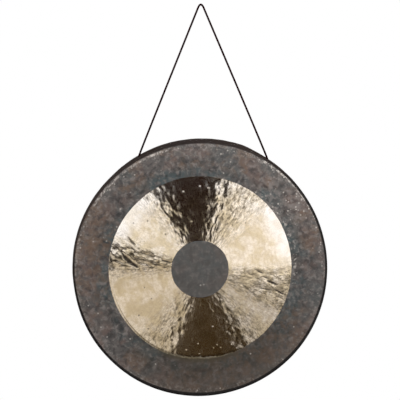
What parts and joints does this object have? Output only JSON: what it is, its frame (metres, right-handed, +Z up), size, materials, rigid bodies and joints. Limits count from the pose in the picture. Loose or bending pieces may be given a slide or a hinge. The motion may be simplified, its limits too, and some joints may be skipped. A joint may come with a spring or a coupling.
{
  "type": "tam-tam gong",
  "caption": "Flat bronze gong with a turned-back rim, a polished ring and a dark patina, hanging from one cord knotted through two rim holes.",
  "frame": {"origin": "where a hook bears on the inside of the hanging cord's bend, at the top of the object", "axes": "+Z up, the struck face towards -Y and leaning about 5 degrees downwards as it hangs, +X to the right of someone facing it"},
  "size_m": [0.6, 0.1005, 0.9204],
  "materials": {
    "bronze": "hammered bronze with a mottled grey-brown fire patina, and a ring scraped and polished to a golden mirror",
    "cord": "braided synthetic cord, very dark maroon brown"
  },
  "bodies": {
    "suspension": {"hanging_cord": "cord"},
    "gong": {"gong_body": "bronze", "left_knot": "cord", "right_knot": "cord"}
  },
  "joints": [
    {"name": "gong_swing", "type": "hinge", "parent": "suspension", "child": "gong", "pos_m": [0.0057, 0, -0.3545], "axis": [0.9997, 0, -0.0231], "range_deg": [-60, 60]}
  ]
}
